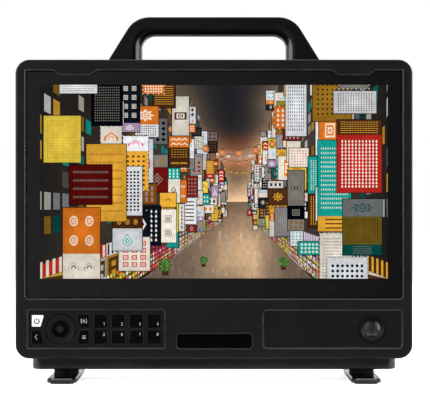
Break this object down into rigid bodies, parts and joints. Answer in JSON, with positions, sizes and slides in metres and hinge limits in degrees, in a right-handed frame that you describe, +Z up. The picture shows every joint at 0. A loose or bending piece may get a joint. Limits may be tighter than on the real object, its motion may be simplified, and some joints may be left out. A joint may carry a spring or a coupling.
{
  "type": "production monitor",
  "caption": "Flat-screen production monitor with a carrying handle, bar feet on a bottom rail, a joystick and number keys under the screen, cooling fans and a socket bay behind.",
  "frame": {"origin": "on the ground, in the middle of the box round the whole monitor, between its two feet", "axes": "+X to the right as the viewer sees the screen, +Y to the back, +Z up"},
  "size_m": [0.3364, 0.104, 0.3106],
  "materials": {
    "case_black": "matte",
    "handle_black": "matte",
    "display_glass": "gloss",
    "gasket_black": "matte",
    "screen": "satin",
    "diffuser": "matte",
    "board_green": "satin",
    "plain_aluminium": "satin",
    "steel": "satin",
    "black_steel": "satin",
    "brass": "satin",
    "plate_black": "matte",
    "gloss_black": "gloss",
    "button_black": "satin",
    "rubber_black": "matte",
    "fan_black": "satin",
    "socket_metal": "polished",
    "socket_black": "satin",
    "grille_metal": "satin"
  },
  "bodies": {
    "monitor": {"front_frame": "case_black", "rear_housing": "case_black", "display_glass": "display_glass", "glass_gasket": "gasket_black", "protector_magnets": "steel", "screen_panel": "screen", "diffuser_sheet": "diffuser", "led_board": "board_green", "backlight_tray": "plain_aluminium", "heat_sink": "plain_aluminium", "board_spacers": "brass", "main_board": "board_green", "power_board": "board_green", "board_screws": "steel", "fan_frames": "fan_black", "socket_board": "board_green", "socket_plate": "case_black", "video_sockets": "socket_metal", "power_socket": "socket_black", "power_pins": "brass", "network_socket": "socket_metal", "hdmi_socket": "socket_metal", "audio_socket": "socket_black", "rear_screws": "black_steel", "case_screws": "black_steel", "control_plate": "plate_black", "key_board": "board_green", "joystick_dish": "plate_black", "joystick_base": "socket_black", "name_plate": "gloss_black", "speaker_cover": "plate_black", "speaker_grille": "grille_metal", "speaker_driver": "socket_black", "handle": "handle_black", "handle_screws": "black_steel", "bottom_rail": "case_black", "rail_screws": "black_steel", "foot_left": "case_black", "foot_right": "case_black", "foot_pads": "rubber_black", "foot_spacers": "case_black", "foot_screws": "black_steel"},
    "fan_left_rotor": {"fan_left_rotor": "fan_black"},
    "fan_right_rotor": {"fan_right_rotor": "fan_black"},
    "joystick_ring": {"joystick_ring": "socket_black"},
    "joystick_rocker": {"joystick_rocker": "socket_black"},
    "joystick_cap": {"joystick_stick": "steel", "joystick_cap": "rubber_black"},
    "button_power": {"button_power": "button_black"},
    "button_back": {"button_back": "button_black"},
    "button_touch": {"button_touch": "button_black"},
    "button_menu": {"button_menu": "button_black"},
    "button_1": {"button_1": "button_black"},
    "button_2": {"button_2": "button_black"},
    "button_3": {"button_3": "button_black"},
    "button_4": {"button_4": "button_black"},
    "button_5": {"button_5": "button_black"},
    "button_6": {"button_6": "button_black"},
    "button_7": {"button_7": "button_black"},
    "button_8": {"button_8": "button_black"}
  },
  "joints": [
    {"name": "fan_left_spin", "type": "hinge", "parent": "monitor", "child": "fan_left_rotor", "pos_m": [-0.1, 0.02, 0.166], "axis": [0, 1, 0], "continuous": true},
    {"name": "fan_right_spin", "type": "hinge", "parent": "monitor", "child": "fan_right_rotor", "pos_m": [0.1, 0.02, 0.166], "axis": [0, 1, 0], "continuous": true},
    {"name": "joystick_tilt_vertical", "type": "hinge", "parent": "monitor", "child": "joystick_ring", "pos_m": [-0.1302, -0.0244, 0.04465], "axis": [1, 0, 0], "range_deg": [-8, 8], "stiffness_Nm_per_rad": 0.02},
    {"name": "joystick_tilt_level", "type": "hinge", "parent": "joystick_ring", "child": "joystick_rocker", "pos_m": [-0.1302, -0.0244, 0.04465], "axis": [0, 0, 1], "range_deg": [-8, 8], "stiffness_Nm_per_rad": 0.02},
    {"name": "joystick_press", "type": "slide", "parent": "joystick_rocker", "child": "joystick_cap", "axis": [0, 1, 0], "range_m": [0, 0.0004], "stiffness_N_per_m": 600, "springref_m": -0.0005},
    {"name": "button_power_press", "type": "slide", "parent": "monitor", "child": "button_power", "axis": [0, 1, 0], "range_m": [0, 0.0006], "stiffness_N_per_m": 600, "springref_m": -0.0005},
    {"name": "button_back_press", "type": "slide", "parent": "monitor", "child": "button_back", "axis": [0, 1, 0], "range_m": [0, 0.0006], "stiffness_N_per_m": 600, "springref_m": -0.0005},
    {"name": "button_touch_press", "type": "slide", "parent": "monitor", "child": "button_touch", "axis": [0, 1, 0], "range_m": [0, 0.0006], "stiffness_N_per_m": 600, "springref_m": -0.0005},
    {"name": "button_menu_press", "type": "slide", "parent": "monitor", "child": "button_menu", "axis": [0, 1, 0], "range_m": [0, 0.0006], "stiffness_N_per_m": 600, "springref_m": -0.0005},
    {"name": "button_1_press", "type": "slide", "parent": "monitor", "child": "button_1", "axis": [0, 1, 0], "range_m": [0, 0.0006], "stiffness_N_per_m": 600, "springref_m": -0.0005},
    {"name": "button_2_press", "type": "slide", "parent": "monitor", "child": "button_2", "axis": [0, 1, 0], "range_m": [0, 0.0006], "stiffness_N_per_m": 600, "springref_m": -0.0005},
    {"name": "button_3_press", "type": "slide", "parent": "monitor", "child": "button_3", "axis": [0, 1, 0], "range_m": [0, 0.0006], "stiffness_N_per_m": 600, "springref_m": -0.0005},
    {"name": "button_4_press", "type": "slide", "parent": "monitor", "child": "button_4", "axis": [0, 1, 0], "range_m": [0, 0.0006], "stiffness_N_per_m": 600, "springref_m": -0.0005},
    {"name": "button_5_press", "type": "slide", "parent": "monitor", "child": "button_5", "axis": [0, 1, 0], "range_m": [0, 0.0006], "stiffness_N_per_m": 600, "springref_m": -0.0005},
    {"name": "button_6_press", "type": "slide", "parent": "monitor", "child": "button_6", "axis": [0, 1, 0], "range_m": [0, 0.0006], "stiffness_N_per_m": 600, "springref_m": -0.0005},
    {"name": "button_7_press", "type": "slide", "parent": "monitor", "child": "button_7", "axis": [0, 1, 0], "range_m": [0, 0.0006], "stiffness_N_per_m": 600, "springref_m": -0.0005},
    {"name": "button_8_press", "type": "slide", "parent": "monitor", "child": "button_8", "axis": [0, 1, 0], "range_m": [0, 0.0006], "stiffness_N_per_m": 600, "springref_m": -0.0005}
  ]
}
